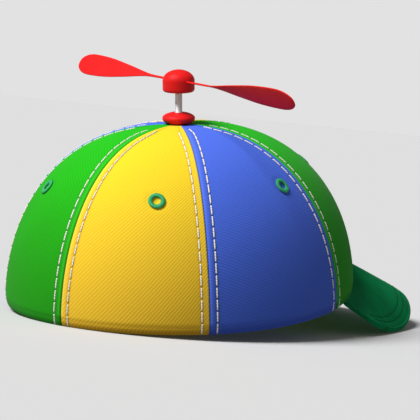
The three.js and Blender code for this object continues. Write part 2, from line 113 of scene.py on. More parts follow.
def closed_mesh(
    name, points, loop_rows=False, loop_columns=False, ladder=False, cloth=None, crease=None
):
    """A closed, smooth mesh from a grid of upright millimetres.

    Each cell of the grid becomes a four-sided face. With ladder, the first and last columns are
    shut by rungs between each row and its mirror row. cloth is a flat place for every point, in
    millimetres. crease is painted light: painted shade above 0, in the seams' folds, along the
    stitch rows and on the hem's roll, and a painted highlight below 0, on the raised bands.
    """
    rows, columns = points.shape[:2]
    index = np.arange(rows * columns).reshape(rows, columns)
    grid = np.vstack([index, index[:1]]) if loop_rows else index
    grid = np.hstack([grid, grid[:, :1]]) if loop_columns else grid
    cells = np.stack([grid[:-1, :-1], grid[1:, :-1], grid[1:, 1:], grid[:-1, 1:]], -1)
    faces = [cells.reshape(-1, 4)]
    if ladder:
        rung = np.arange(rows // 2 - 1)
        mirror = rows - 1 - rung
        first, last = index[:, 0], index[:, -1]
        faces.append(np.stack([first[rung], first[mirror], first[mirror - 1], first[rung + 1]], -1))
        faces.append(np.stack([last[rung], last[rung + 1], last[mirror - 1], last[mirror]], -1))
    return finished_mesh(name, points, np.concatenate(faces), cloth, crease)


# %% Place a mesh on the model
def place(name, mesh, material, body, node=None):
    """Adds the mesh as a piece that rides on a body of the model, and may stand for a CAD node."""
    piece = bpy.data.objects.new(name, mesh)
    bpy.context.scene.collection.objects.link(piece)
    mesh.materials.append(material)
    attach(piece, body)
    if node:
        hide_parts(node)
    print(name, "has", len(mesh.polygons), "faces")
    return piece


# %% [markdown]
# ## Colours and nodes
#
# Colours are easiest to choose as the hex values that a colour picker shows. Shaders work with
# linear light, so one function converts them. A second small function adds a node, sets it up and
# links it, so that each material below reads as a list of what happens to the light. A Mix node has
# a set of sockets for each kind of value: its two colours are numbers 6 and 7, and the mix is 2.

# %% Colours and nodes
def linear(hex_colour):
    """Linear red, green, blue and alpha from an sRGB hex value, by the sRGB curve's two parts."""
    srgb = np.array([int(hex_colour[i : i + 2], 16) for i in (1, 3, 5)]) / 255
    curve = np.where(srgb <= 0.04045, srgb / 12.92, ((srgb + 0.055) / 1.055) ** 2.4)
    return (*curve.tolist(), 1.0)


def add_node(tree, kind, inputs=None, **settings):
    """A new node with its settings; each input is a value, or a socket that is linked to it."""
    node = tree.nodes.new("ShaderNode" + kind)
    for key, value in settings.items():
        setattr(node, key, value)
    for key, value in (inputs or {}).items():
        if isinstance(value, bpy.types.NodeSocket):
            tree.links.new(value, node.inputs[key])
        else:
            node.inputs[key].default_value = value
    return node


def new_material(name):
    """An empty material, its node tree and the output that its shader goes to."""
    material = bpy.data.materials.new(name)
    material.use_nodes = True
    material.node_tree.nodes.clear()
    return material, material.node_tree, add_node(material.node_tree, "OutputMaterial")


# %% [markdown]
# ## Cotton twill
#
# The panels are cotton drill: a twill weave, in which each weft thread passes over two warp threads
# and shifts by one in every row. That draws fine diagonal ridges across the cloth. The fibres are
# dull and slightly fuzzy, so the cloth has no clear highlight, only a faint sheen at grazing angles.
# A real ridge is about 0.7 mm wide; it is drawn here at 1.4 mm, as wide as it shows in a picture of
# the whole cap. The pattern follows a flat layout of each panel, as the cutter's cloth did, so the
# ridges lean their own way on every panel. Light and shade are painted into the colour: the top is
# lighter and the rim darker, with random blotches between. Painted shade darkens the folds of the
# seams, the stitch rows and the hem's roll, and a painted highlight lies on the raised edges beside
# the seams.

# %% Cotton twill
TWILL_PITCH = 1.4
YARN_PITCH = 0.9
BANDS_PERIOD = 0.314159  # a wave texture's bands lie this far apart at a scale of 1


def cotton_twill(name, top_lit_colour, rim_shaded_colour, fold_shade, band_highlight_colour, lean):
    """Dyed cotton drill.

    The colours are, in order: the top's, lighter as painted light; the rim's, darker as painted
    shade;
    the painted shade of the seams' folds, the stitch rows and the hem's roll; and the painted
    highlight on the raised strip beside each seam.
    lean is the slope of the ridges in the panel's flat layout, in degrees.
    """
    material, tree, output = new_material(name)
    layout = add_node(tree, "UVMap", uv_map="cloth").outputs["UV"]
    along = {"Rotation": (0, 0, np.radians(90 + lean))}
    turned = add_node(tree, "Mapping", {"Vector": layout, **along}).outputs["Vector"]
    ridges = add_node(
        tree,
        "TexWave",
        {"Vector": turned, "Scale": BANDS_PERIOD / TWILL_PITCH, "Distortion": 0.5, "Detail": 1.0,
         "Detail Scale": 0.6},
        bands_direction="X",
    ).outputs["Fac"]
    yarns = add_node(
        tree,
        "TexWave",
        {"Vector": turned, "Scale": BANDS_PERIOD / YARN_PITCH, "Distortion": 0.8,
         "Detail Scale": 1.0},
        bands_direction="Y",
    ).outputs["Fac"]
    slubs = add_node(
        tree, "TexNoise", {"Vector": layout, "Scale": 0.6, "Detail": 4.0}
    ).outputs["Fac"]
    beads = add_node(
        tree, "Math", {0: yarns, 1: 0.3, 2: ridges}, operation="MULTIPLY_ADD"
    ).outputs[0]
    weave = add_node(
        tree, "Math", {0: slubs, 1: 0.5, 2: beads}, operation="MULTIPLY_ADD"
    ).outputs[0]
    # Painted light and shade: lighter at the top and darker towards the rim, by the distance down the
    # panel, with random blotches mixed in.
    height = add_node(tree, "SeparateXYZ", {"Vector": layout}).outputs["Y"]
    blotches = add_node(
        tree, "TexNoise", {"Vector": layout, "Scale": 0.03, "Detail": 3.0}
    ).outputs["Fac"]
    height_and_blotches = add_node(
        tree, "Math", {0: blotches, 1: 36.0, 2: height}, operation="MULTIPLY_ADD"
    ).outputs[0]
    rim_shade_share = add_node(
        tree, "MapRange", {"Value": height_and_blotches, "From Min": 32.0, "From Max": 158.0},
        interpolation_type="SMOOTHSTEP",
    ).outputs["Result"]
    top_lit_rim_shaded = add_node(
        tree, "Mix", {"Factor": rim_shade_share, 6: linear(top_lit_colour), 7: linear(rim_shaded_colour)}, data_type="RGBA"
    ).outputs[2]
    gaps = add_node(
        tree, "MapRange",
        {"Value": weave, "From Min": 0.3, "From Max": 1.4, "To Min": 0.87, "To Max": 1.0},
    ).outputs["Result"]
    woven = add_node(
        tree, "Mix", {"Factor": 1.0, 6: top_lit_rim_shaded, 7: gaps}, data_type="RGBA", blend_type="MULTIPLY"
    ).outputs[2]
    # The crease attribute paints shade above 0: darker in the seams' folds, along the stitch rows and
    # on the hem's roll.
    crease = add_node(tree, "Attribute", attribute_name="crease").outputs["Fac"]
    fold_shaded = add_node(
        tree, "Mix", {"Factor": crease, 6: woven, 7: linear(fold_shade)}, data_type="RGBA"
    ).outputs[2]
    # Below 0 the crease attribute paints a highlight on the raised band beside each seam.
    band_highlight_share = add_node(tree, "Math", {0: crease, 1: -1.0}, operation="MULTIPLY").outputs[0]
    band_highlighted = add_node(
        tree, "Mix", {"Factor": band_highlight_share, 6: fold_shaded, 7: linear(band_highlight_colour)}, data_type="RGBA"
    ).outputs[2]
    raised = add_node(tree, "Bump", {"Height": weave, "Strength": 0.5, "Distance": 0.00009})
    shader = add_node(
        tree,
        "BsdfPrincipled",
        {"Base Color": band_highlighted, "Normal": raised.outputs["Normal"], "Roughness": 0.9,
         "Specular IOR Level": 0.08, "Sheen Weight": 0.03, "Sheen Roughness": 0.45},
    )
    tree.links.new(shader.outputs["BSDF"], output.inputs["Surface"])
    return material


# %% [markdown]
# ## Sewing thread
#
# The seams are topstitched with undyed cotton thread, three plies twisted together. The plies catch
# the light one after the other, so a stitch looks faintly striped along its length. The stripes
# follow the stitch's own layout, which runs along the thread in millimetres.

# %% Sewing thread
def twisted_thread(name, lit, shaded, ply_pitch, roughness):
    """Twisted thread: slanting plies, ply_pitch millimetres apart along the thread."""
    material, tree, output = new_material(name)
    layout = add_node(tree, "UVMap", uv_map="cloth").outputs["UV"]
    slant = add_node(tree, "Mapping", {"Vector": layout, "Rotation": (0, 0, 0.6)}).outputs["Vector"]
    plies = add_node(
        tree, "TexWave", {"Vector": slant, "Scale": BANDS_PERIOD / ply_pitch, "Distortion": 0.3},
        bands_direction="X",
    ).outputs["Fac"]
    colour = add_node(
        tree, "Mix", {"Factor": plies, 6: linear(shaded), 7: linear(lit)}, data_type="RGBA"
    ).outputs[2]
    raised = add_node(tree, "Bump", {"Height": plies, "Strength": 0.5, "Distance": 0.0001})
    shader = add_node(
        tree,
        "BsdfPrincipled",
        {"Base Color": colour, "Normal": raised.outputs["Normal"], "Roughness": roughness,
         "Specular IOR Level": 0.9 - roughness},
    )
    tree.links.new(shader.outputs["BSDF"], output.inputs["Surface"])
    return material


topstitch_cotton = twisted_thread(
    "topstitch_cotton_thread", "#EDE9E0", "#B9B3A6", ply_pitch=1.1, roughness=0.8
)

# %% [markdown]
# ## The crown's surface
#
# The crown is a dome, longer than it is wide, and a little fuller at the back. A plain half
# ellipsoid would be too pointed, so the section is a superellipse: the powers of the sine and the
# cosine are below 1, which pushes the shoulders out. The rim isn't flat either: it rises at the back
# and dips at the sides, as a cap's does when its cloth has been pulled to a head. These are the
# same formulas and sizes as the CAD model's, so the cloth lies exactly on its solids.

# %% The crown's surface
CROWN_WIDTH = 164
CROWN_LENGTH = 206.2
CROWN_HEIGHT = 88.2
CROWN_FORWARD_SHIFT = 3.9
REACH_POWER, REACH_POWER_FRONT = 2.5, -0.24
RISE_POWER, RISE_POWER_FRONT = 2.02, 0.16
RIM_TIP, RIM_DIP = 2.2, 2.0
HEM_RADIUS = 1.6
CLOTH_THICKNESS = 1.6


def crown_surface(angle, share):
    """Points of the crown's outer face.

    The angle goes round from the middle of the front over the wearer's left, and the share goes
    from the top (0) to the rim (1). The reach from the shaft is a power of the share's sine, and
    the height is a power of its cosine, less a wave that bends the rim.
    """
    front = np.cos(angle)
    turn = share * np.pi / 2
    reach = np.sin(turn) ** (2 / (REACH_POWER + REACH_POWER_FRONT * front))
    rise = np.maximum(np.cos(turn), 0) ** (2 / (RISE_POWER + RISE_POWER_FRONT * front))
    wave = RIM_TIP * front - RIM_DIP * np.cos(2 * angle)
    x = CROWN_WIDTH / 2 * reach * np.sin(angle)
    y = -(CROWN_LENGTH / 2 * front + CROWN_FORWARD_SHIFT) * reach
    z = HEM_RADIUS + rise * (CROWN_HEIGHT - HEM_RADIUS) - wave * reach**2
    return np.stack([x, y, z], -1)


def unit(vectors):
    """Each vector divided by its own length."""
    return vectors / np.linalg.norm(vectors, axis=-1, keepdims=True)


def crown_directions(angle, share):
    """The crown's outward direction and its length round a radian, from small steps each way."""
    step = 1e-3
    around = crown_surface(angle + step, share) - crown_surface(angle - step, share)
    down = crown_surface(angle, np.minimum(share + step, 1)) - crown_surface(angle, share - step)
    return unit(np.cross(down, around)), np.linalg.norm(around, axis=-1) / (2 * step)


def lengths_along(points):
    """Distance travelled along each row of points, from the first one."""
    steps = np.linalg.norm(np.diff(points, axis=0), axis=-1)
    return np.concatenate([np.zeros((1, *steps.shape[1:])), np.cumsum(steps, axis=0)])


# %% [markdown]
# ## The panels
#
# Six gores make the crown. Each is cut flat, sewn to its neighbours inside out, turned, and then
# topstitched a few millimetres each side of the seam, through the folded seam allowance. So beside
# every seam there is a slightly raised band: three layers of cloth, held down by the stitches, with
# a sharp crease where two panels meet. At the rim the cloth rolls under into a hem.
#
# A panel is a grid that bends with the crown. Its columns stand close together beside the seams,
# at fixed distances in millimetres, and spread evenly in between, so that the relief is sharp
# where it matters. Its rows run down the outer face, round the hem and up the inner face.

# %% The relief beside a seam and at the hem
STITCH_OFFSET = 3.9
STITCH_LENGTH = 5.2
STITCH_GAP = 0.5
STITCH_PITCH = STITCH_LENGTH + STITCH_GAP
BAND_LINES = np.array([0, 0.12, 0.3, 0.55, 0.9, 1.4, 2.1, 2.8, 3.3, 3.7, 4.1, 4.5, 5.1, 6.0])
FULL_BAND_HALF_WIDTH = 11
ROLL_HEIGHT = 4.4
ROLL_BEGIN = np.arcsin(ROLL_HEIGHT / (ROLL_HEIGHT + HEM_RADIUS))
SHADOW_LINE_HEIGHT = 2.1
UP = np.array([0, 0, 1.0])


def bell(distance, width):
    """1 at no distance, falling off by the bell curve exp(-(distance / width)²)."""
    return np.exp(-((distance / width) ** 2))


def ramp(value, start, end):
    """0 before start and 1 after end, by the smooth curve 3t² - 2t³ between."""
    t = np.clip((value - start) / (end - start), 0, 1)
    return t * t * (3 - 2 * t)


def seam_relief(distance, travelled):
    """Height of the cloth over the plain crown, at a distance from the seam.

    It is a bell-shaped crease at the seam, plus a band up to the stitches, less a bell-shaped dent
    that the thread pulls in once for every stitch.
    """
    crease = -0.42 * bell(distance, 0.32)
    band = 0.28 * ramp(distance, 0.0, 0.8) * (1 - ramp(distance, 2.8, 5.4))
    tug = 0.28 + 0.1 * np.cos(2 * np.pi * travelled / STITCH_PITCH)
    dent = -tug * bell(distance - STITCH_OFFSET, 0.6)
    return crease + band + dent


def hem_relief(height):
    """How far the cloth stands in near the rim: a quarter ellipse and a fine line above it."""
    under = np.clip((ROLL_HEIGHT - height) / (ROLL_HEIGHT + HEM_RADIUS), 0, 1)
    line = 0.25 * bell(height - SHADOW_LINE_HEIGHT, 0.7)
    return -HEM_RADIUS * (1 - np.sqrt(1 - under**2)) - line


def hem_turn(rim, outward, turn):
    """Points round the outside of the hem, and their outward direction.

    It is an ellipse, half a hem wide and as high as the roll: the turn is 0 where the roll begins
    and a quarter turn at the very bottom of the rim.
    """
    high = ROLL_HEIGHT + HEM_RADIUS
    inward, down = HEM_RADIUS * (1 - np.cos(turn)), ROLL_HEIGHT - high * np.sin(turn)
    points = rim - outward * inward + UP * down
    return points, unit(outward * np.cos(turn) / HEM_RADIUS - UP * np.sin(turn) / high)


# %% The panels' places and cloth
# Seams and eyelet of each panel in degrees, its cloth's colours with painted light and shade, and the
# lean of its twill
# Each cloth's colours: the top lit lighter, the rim shaded darker, the painted shade of folds, stitch
# rows and hem, and the painted highlight of the raised bands
YELLOW_CLOTH = ("#E8CC24", "#E4B82E", "#8F5F10", "#F0D050")
GREEN_CLOTH = ("#1EB214", "#1E8C10", "#105E0C", "#38BE2C")
BLUE_CLOTH = ("#4A6ADC", "#4464CC", "#2A409E", "#5A78E8")
PANELS = {
    "front_left": (0, 80, 31, "yellow", YELLOW_CLOTH, 52),
    "side_left": (80, 131.5, 92.6, "blue", BLUE_CLOTH, -24),
    "rear_left": (131.5, 180, 149.5, "green", GREEN_CLOTH, -38),
    "rear_right": (180, 228.5, 210.5, "yellow", YELLOW_CLOTH, 48),
    "side_right": (228.5, 280, 267.4, "blue", BLUE_CLOTH, -24),
    "front_right": (280, 360, 329, "green", GREEN_CLOTH, -52),
}
EYELET_RADIUS = 3.05
EYELET_HEIGHT = 0.71 * CROWN_HEIGHT


def eyelet_share(angle):
    """The share down the crown at which its height is the eyelets' height, read off a fine table."""
    shares = np.linspace(0.01, 1, 2000)
    heights = crown_surface(np.radians(angle), shares)[:, 2]
    return float(np.interp(-EYELET_HEIGHT, -heights, shares))


# %% One panel
TOP_SHARE = 0.0115
OUTER_ROWS = 132
MIDDLE_COLUMNS = 62
HEM_STEPS = 5
HEM_BACK_HEIGHT = 1.4
HEM_FADE_HEIGHTS = (9, 15)


def column_angles(start, end, share):
    """Angles of a panel's columns in each row, and their distance from the nearer seam.

    The band's columns lie at fixed millimetres from the seams, less where the panel is narrow, and
    the middle ones are spread evenly between them.
    """
    rate_start = crown_directions(start, share)[1][:, None]
    rate_end = crown_directions(end, share)[1][:, None]
    half_width = (end - start) * (rate_start + rate_end) / 4
    crowd = np.minimum(1, half_width / FULL_BAND_HALF_WIDTH)
    left = start + BAND_LINES * crowd / rate_start
    right = end - BAND_LINES[::-1] * crowd / rate_end
    mix = np.linspace(0, 1, MIDDLE_COLUMNS + 2)[1:-1]
    middle = left[:, -1:] * (1 - mix) + right[:, :1] * mix
    away = np.minimum(mix, 1 - mix) * 2 * half_width + BAND_LINES[-1]
    band = np.broadcast_to(BAND_LINES, left.shape)
    return np.hstack([left, middle, right]), np.hstack([band, away, band[:, ::-1]]), crowd


def panel_grid(start, end, eyelet):
    """A panel's points, flat layout, and painted shade and highlight.

    The outer face is the crown plus the relief of seam, hem and eyelet along its outward
    direction. The hem is two quarter ellipses under the rim. The inner face is the crown less the
    cloth's thickness, which grows to the whole hem at the rim.
    """
    share = TOP_SHARE + (1 - TOP_SHARE) * np.linspace(0, 1, OUTER_ROWS) ** 0.85
    angle, distance, crowd = column_angles(start, end, share)
    rows = np.broadcast_to(share[:, None], angle.shape)
    surface = crown_surface(angle, rows)
    outward, rate = crown_directions(angle, rows)
    travelled = lengths_along(surface)
    height = travelled[-1] - travelled
    seam = seam_relief(distance, travelled) * crowd
    centre = crown_surface(np.radians(eyelet), eyelet_share(eyelet))
    from_eyelet = np.linalg.norm(surface - centre, axis=-1)
    pucker = -0.7 * bell(from_eyelet, 1.8) - 0.25 * bell(from_eyelet - 4.6, 0.9)
    outer = surface + outward * (seam + hem_relief(height) + pucker)[..., None]

    rim, rim_out = surface[-1], outward[-1]
    fall = np.linspace(ROLL_BEGIN, np.pi / 2, HEM_STEPS + 1)[1:, None, None]
    climb = np.linspace(np.pi / 2, np.pi, HEM_STEPS + 1)[1:, None, None]
    hem_out = hem_turn(rim, rim_out, fall)[0] + rim_out * seam[-1][:, None]
    back = HEM_BACK_HEIGHT - (HEM_BACK_HEIGHT + HEM_RADIUS) * np.sin(climb)
    hem_in = rim - rim_out * HEM_RADIUS * (1 - np.cos(climb)) + UP * back

    hem_share = 1 - ramp(surface[..., 2], *HEM_FADE_HEIGHTS)
    wall = CLOTH_THICKNESS + (2 * HEM_RADIUS - CLOTH_THICKNESS) * hem_share
    inner = surface - outward * wall[..., None]
    inner = np.where((height < HEM_BACK_HEIGHT)[..., None], hem_in[-1], inner)
    points = np.concatenate([outer, hem_out, hem_in, inner[::-1]])

    across = (angle - (start + end) / 2) * rate
    down_middle = travelled[:, angle.shape[1] // 2][:, None]
    flat = np.stack(np.broadcast_arrays(across, down_middle), -1)
    layout = np.concatenate([flat, np.repeat(flat[-1:], 2 * HEM_STEPS, axis=0), flat[::-1]])
    # Painted shade in the seam's fold, along the stitch row and on the hem's roll, less a painted
    # highlight on the raised band beside the seam.
    fold_shade = 0.6 * bell(distance, 0.25)
    band_highlight_share = 0.5 * bell(distance - 1.0, 0.8) * crowd * ramp(height, 1.5, 4.6)
    stitch_row_shade = 0.5 * bell(distance - STITCH_OFFSET, 0.75) * crowd
    hem_shade = 0.5 * (1 - ramp(height, 0.5, 3.2))
    shadow = np.maximum(np.maximum(fold_shade, stitch_row_shade), hem_shade) - band_highlight_share
    crease = np.concatenate([shadow, np.repeat(shadow[-1:], 2 * HEM_STEPS, axis=0), shadow[::-1]])
    return points, layout, crease


for name, (start, end, eyelet, colour, cloth_colours_and_painted_light, lean) in PANELS.items():
    grid, layout, crease = panel_grid(np.radians(start), np.radians(end), eyelet)
    mesh = closed_mesh(
        "crown_" + name, grid, loop_rows=True, ladder=True, cloth=layout, crease=crease
    )
    twill = cotton_twill("cotton_twill_" + name, *cloth_colours_and_painted_light, lean)
    place("crown_" + name, mesh, twill, "cap", "crown_panel_" + name)

# %% [markdown]
# ## Topstitching
#
# The stitches are what makes the seams read as sewn, so each is real geometry: a short, plump
# thread that dives into the cloth at both ends. One stitch is a small tube of a few dozen faces.
# All the stitches of a row are made at once: the row's path is worked out as a curve on the crown,
# and every tube takes its points from that curve by the distance along it.

# %% Rows of stitches
def stitch_rows(name, paths, outwards, length, gap, width, plump, material, body):
    """Stitches along several paths, as one mesh.

    Each stitch is a tube along its own stretch of path. Its radius follows a superellipse, full in
    the middle and closed at both ends, and its middle rides over the cloth while its ends sink in.
    """
    along = np.sin(np.linspace(-np.pi / 2, np.pi / 2, 11))
    around = np.linspace(0, 2 * np.pi, 8, endpoint=False)
    tubes, layouts = [], []
    for path, outward in zip(paths, outwards):
        travelled = lengths_along(path)
        count = int(travelled[-1] // (length + gap))
        starts = travelled[-1] - (length + gap) * np.arange(1, count + 1)
        reach = starts[:, None] + length / 2 * (1 + along)
        middle = np.stack([np.interp(reach, travelled, path[:, k]) for k in range(3)], -1)
        out = unit(np.stack([np.interp(reach, travelled, outward[:, k]) for k in range(3)], -1))
        heading = unit(np.gradient(middle, axis=1))
        side = np.cross(heading, out)
        full = np.sqrt(np.maximum(1 - np.abs(along) ** 10, 0))[None, :, None]
        lift = plump * (0.6 * full - 0.35)
        ring = (
            side[:, :, None] * (np.cos(around) * width / 2 * full)[..., None]
            + out[:, :, None] * (np.sin(around) * plump / 2 * full + lift)[..., None]
        )
        tubes.append(middle[:, :, None] + ring)
        layouts.append(np.stack(np.broadcast_arrays(reach[:, :, None], around * width / 2), -1))
    tubes, layouts = np.concatenate(tubes), np.concatenate(layouts)
    count, rings, sides = tubes.shape[:3]
    cell = np.arange(rings * sides).reshape(rings, sides)
    cell = np.hstack([cell, cell[:, :1]])
    one = np.stack([cell[:-1, :-1], cell[1:, :-1], cell[1:, 1:], cell[:-1, 1:]], -1).reshape(-1, 4)
    faces = (one[None] + rings * sides * np.arange(count)[:, None, None]).reshape(-1, 4)
    print(name, "has", count, "stitches")
    return place(name, finished_mesh(name, tubes, faces, layouts), material, body)


STITCH_SINK = 0.1
TOP_STITCH_SHARE = 0.07
HALF_PANEL = np.radians(24)
HEM_STITCH_TURN = 1.4


def seam_path(seam, side):
    """The line of stitches on one side of a seam, on the dented cloth, and its outward direction."""
    share = np.linspace(TOP_STITCH_SHARE, 1, 400)
    rate = crown_directions(seam, share)[1]
    crowd = np.minimum(1, rate * HALF_PANEL / FULL_BAND_HALF_WIDTH)
    angle = seam + side * STITCH_OFFSET * crowd / rate
    outward = crown_directions(angle, share)[0]
    path = crown_surface(angle, share)
    travelled = lengths_along(path)
    relief = hem_relief(travelled[-1] - travelled)
    turn = np.linspace(ROLL_BEGIN, HEM_STITCH_TURN, 12)[1:, None]
    hem, hem_outward = hem_turn(path[-1], outward[-1], turn)
    cloth = np.concatenate([path + relief[:, None] * outward, hem])
    outward = np.concatenate([outward, hem_outward])
    return cloth - STITCH_SINK * outward, outward


seams = np.radians([panel[0] for panel in PANELS.values()])
rows = [seam_path(seam, side) for seam in seams for side in (-1, 1)]
stitch_rows(
    "seam_topstitching", [row[0] for row in rows], [row[1] for row in rows],
    STITCH_LENGTH, STITCH_GAP, width=0.8, plump=0.7, material=topstitch_cotton, body="cap",
)

# %% [markdown]
# ## Eyelets
#
# Each eyelet is a small air hole worked round with satin stitch: dozens of parallel threads that
# wrap the edge like the spokes of a wheel. A plain ring would look like a rubber washer, so the
# ring's radius swells and sinks once for every thread. Rayon thread is smoother than cotton, which
# gives it a soft gloss. The ring lies on the cloth, with its lower half sunk in.

# %% Eyelets
THREADS_ROUND = 34


def eyelet_ring(angle):
    """A flattened ring on the crown, ribbed by its threads.

    A circle of the tube's radius is carried round a circle of the eyelet's radius. The tube's
    radius is larger by a small cosine of the turn times the number of threads.
    """
    angle_here = np.radians(angle)
    share = eyelet_share(angle)
    centre = crown_surface(angle_here, share)
    out = crown_directions(angle_here, np.array(share))[0]
    right = unit(np.cross([0, 0, 1.0], out))
    up = np.cross(out, right)
    turn = np.linspace(0, 2 * np.pi, THREADS_ROUND * 6, endpoint=False)[:, None]
    tube = np.linspace(0, 2 * np.pi, 14, endpoint=False)[None, :]
    radius = 1.08 * (1 + 0.07 * np.cos(THREADS_ROUND * turn + 0.8 * np.cos(tube)))
    reach = EYELET_RADIUS + radius * np.cos(tube)
    lift = 0.3 + 0.62 * radius * np.sin(tube)
    flat = right * (reach * np.cos(turn))[..., None] + up * (reach * np.sin(turn))[..., None]
    layout = np.stack(np.broadcast_arrays(turn * EYELET_RADIUS, tube * 1.05), -1)
    return centre + flat + out * lift[..., None], layout


satin_rayon = twisted_thread(
    "satin_stitch_rayon", "#27B169", "#0F7440", ply_pitch=0.56, roughness=0.5
)
for name, panel in PANELS.items():
    ring, layout = eyelet_ring(panel[2])
    mesh = closed_mesh("ring_" + name, ring, loop_rows=True, loop_columns=True, cloth=layout)
    place("ring_" + name, mesh, satin_rayon, "cap", "eyelet_" + name)

# %% [markdown]
# ## The peak
#
# The peak is a stiff board between two layers of smooth, tightly woven dark green cotton. It is
# sewn to the rim from side to side, droops forwards, and arches from side to side because the rim
# that it is sewn to is round. Two rows of stitches in the same green hold board and cloth together,
# parallel to the edge, and each row sinks into the padding a little.
#
# Seen from above its outline is a superellipse. Every point lies on a straight line from the rim to
# that outline. The edge falls with the distance ahead of the rim, less where the peak arches, and at
# each corner it comes back to the seam. The seam lies over the hem in the middle of the front and
# tucks under it at the sides.

# %% The peak's surface
PEAK_LENGTH = 47
PEAK_SIDE_OVERHANG = 2.6
PEAK_THICKNESS = 3.6
PEAK_SLOPE_ANGLE = np.radians(31)
PEAK_ARCH_POWER = 4.6
PEAK_CORNER = np.radians(83)
PEAK_RISE_AT_CROWN = 7.5
PEAK_SIDE_LEVEL = -1.3
PEAK_TUCK = 1.6
PEAK_END_WIDTH = 1.5
PEAK_TUCK_ANGLES = np.radians([26, 50])
PEAK_SEAM_CLEARANCE = 0.3
PEAK_SEAM_END = np.radians(73)
PEAK_EDGE_SHARE = 0.9
PEAK_EDGE_POWER = 3.05
PEAK_BULGE_FADE = (0.55, 0.9)
PEAK_NEAR_FADE = (0.45, 0.8)
PEAK_NEAR_POWER = 2.5
PEAK_THINNING_SHARE = 0.88
PEAK_END_THICKNESS = 0.15 * PEAK_THICKNESS
PEAK_STITCH_LINES = (5.5, 11.0)
seam_half_width = CROWN_WIDTH / 2 + PEAK_SEAM_CLEARANCE
seam_half_length = CROWN_LENGTH / 2 + PEAK_SEAM_CLEARANCE
corner_side = seam_half_width * np.sin(PEAK_CORNER)
corner_ahead = seam_half_length * np.cos(PEAK_CORNER) + CROWN_FORWARD_SHIFT
crown_front = seam_half_length + CROWN_FORWARD_SHIFT
peak_half_width = corner_side + PEAK_SIDE_OVERHANG


def peak_drop(ahead, side):
    """How far the peak has fallen at a place: its slope times the way ahead of its arch."""
    arch = (crown_front - corner_ahead) * np.abs(side / peak_half_width) ** PEAK_ARCH_POWER
    return np.tan(PEAK_SLOPE_ANGLE) * (ahead - (crown_front - arch))


def peak_outline(across):
    """How far to the side and ahead the edge lies, as shares of its widest and longest reach."""
    heading = across * PEAK_EDGE_SHARE * np.pi / 2
    forward, sideways = np.cos(heading), np.sin(heading)
    power = PEAK_EDGE_POWER
    stretch = (forward**power + np.abs(sideways) ** power) ** (-1 / power)
    return sideways * stretch, forward * stretch


def peak_ends(across):
    """Seam and edge for each heading from -1 to 1: how far to the side, ahead and up each lies.

    Seen from above the edge is a superellipse, and its last tenth comes back to the end of the
    seam. The seam runs round the rim: over the hem in front, and tucked under it at the sides.
    """
    sideways, forward = peak_outline(across)
    edge_side = peak_half_width * sideways
    edge_ahead = corner_ahead + (crown_front + PEAK_LENGTH - corner_ahead) * forward
    edge_level = PEAK_RISE_AT_CROWN - peak_drop(edge_ahead, edge_side)

    angle = PEAK_SEAM_END * np.arcsin(sideways) / np.arcsin(peak_outline(1)[0])
    below = ramp(np.abs(angle), *PEAK_TUCK_ANGLES)
    seam_side = (seam_half_width - PEAK_TUCK * below) * np.sin(angle)
    seam_ahead = (seam_half_length - PEAK_TUCK * below) * np.cos(angle) + CROWN_FORWARD_SHIFT
    seam_level = PEAK_RISE_AT_CROWN * (1 - below) + PEAK_SIDE_LEVEL * below

    end = ramp(np.abs(across), PEAK_EDGE_SHARE, 1)
    corner = (
        (seam_half_width + PEAK_END_WIDTH) * np.sin(PEAK_SEAM_END) * np.sign(across),
        (seam_half_length + PEAK_END_WIDTH) * np.cos(PEAK_SEAM_END) + CROWN_FORWARD_SHIFT,
        PEAK_SIDE_LEVEL,
    )
    plain_edge = (edge_side, edge_ahead, edge_level)
    edge = [plain * (1 - end) + last * end for plain, last in zip(plain_edge, corner)]
    return (seam_side, seam_ahead, seam_level), edge


def peak_surface(across, out):
    """Points of the peak's top face, from the seam (out 0) to the edge (out 1).

    Between seam and edge the height is an even mix of theirs, plus the arch's own bulge, which fades
    towards the sides. In the middle the seam's own height is felt only close to the crown.
    """
    seam, edge = peak_ends(across)
    side, ahead = (a * (1 - out) + b * out for a, b in zip(seam[:2], edge[:2]))
    even_drop = (1 - out) * peak_drop(seam[1], seam[0]) + out * peak_drop(edge[1], edge[0])
    bulge = (even_drop - peak_drop(ahead, side)) * (1 - ramp(np.abs(across), *PEAK_BULGE_FADE))
    near_power = PEAK_NEAR_POWER - (PEAK_NEAR_POWER - 1) * ramp(np.abs(across), *PEAK_NEAR_FADE)
    near = (seam[2] - PEAK_RISE_AT_CROWN) * (1 - out) ** near_power
    level = PEAK_RISE_AT_CROWN * (1 - out) + near + edge[2] * out + bulge
    return np.stack(np.broadcast_arrays(side, -ahead, level), -1)


def edge_distance(across, out):
    """Millimetres from a place on the peak to its edge, along the line from the seam."""
    seam, edge = peak_ends(across)
    return (1 - out) * np.hypot(edge[0] - seam[0], edge[1] - seam[1]) / np.cos(PEAK_SLOPE_ANGLE)


def peak_relief(distance):
    """The padding's form: a bell-shaped groove along each row of stitches, and a rolled edge."""
    grooves = sum(bell(distance - line, 0.8) for line in PEAK_STITCH_LINES)
    return -0.32 * grooves - 0.5 * np.exp(-distance / 1.2)


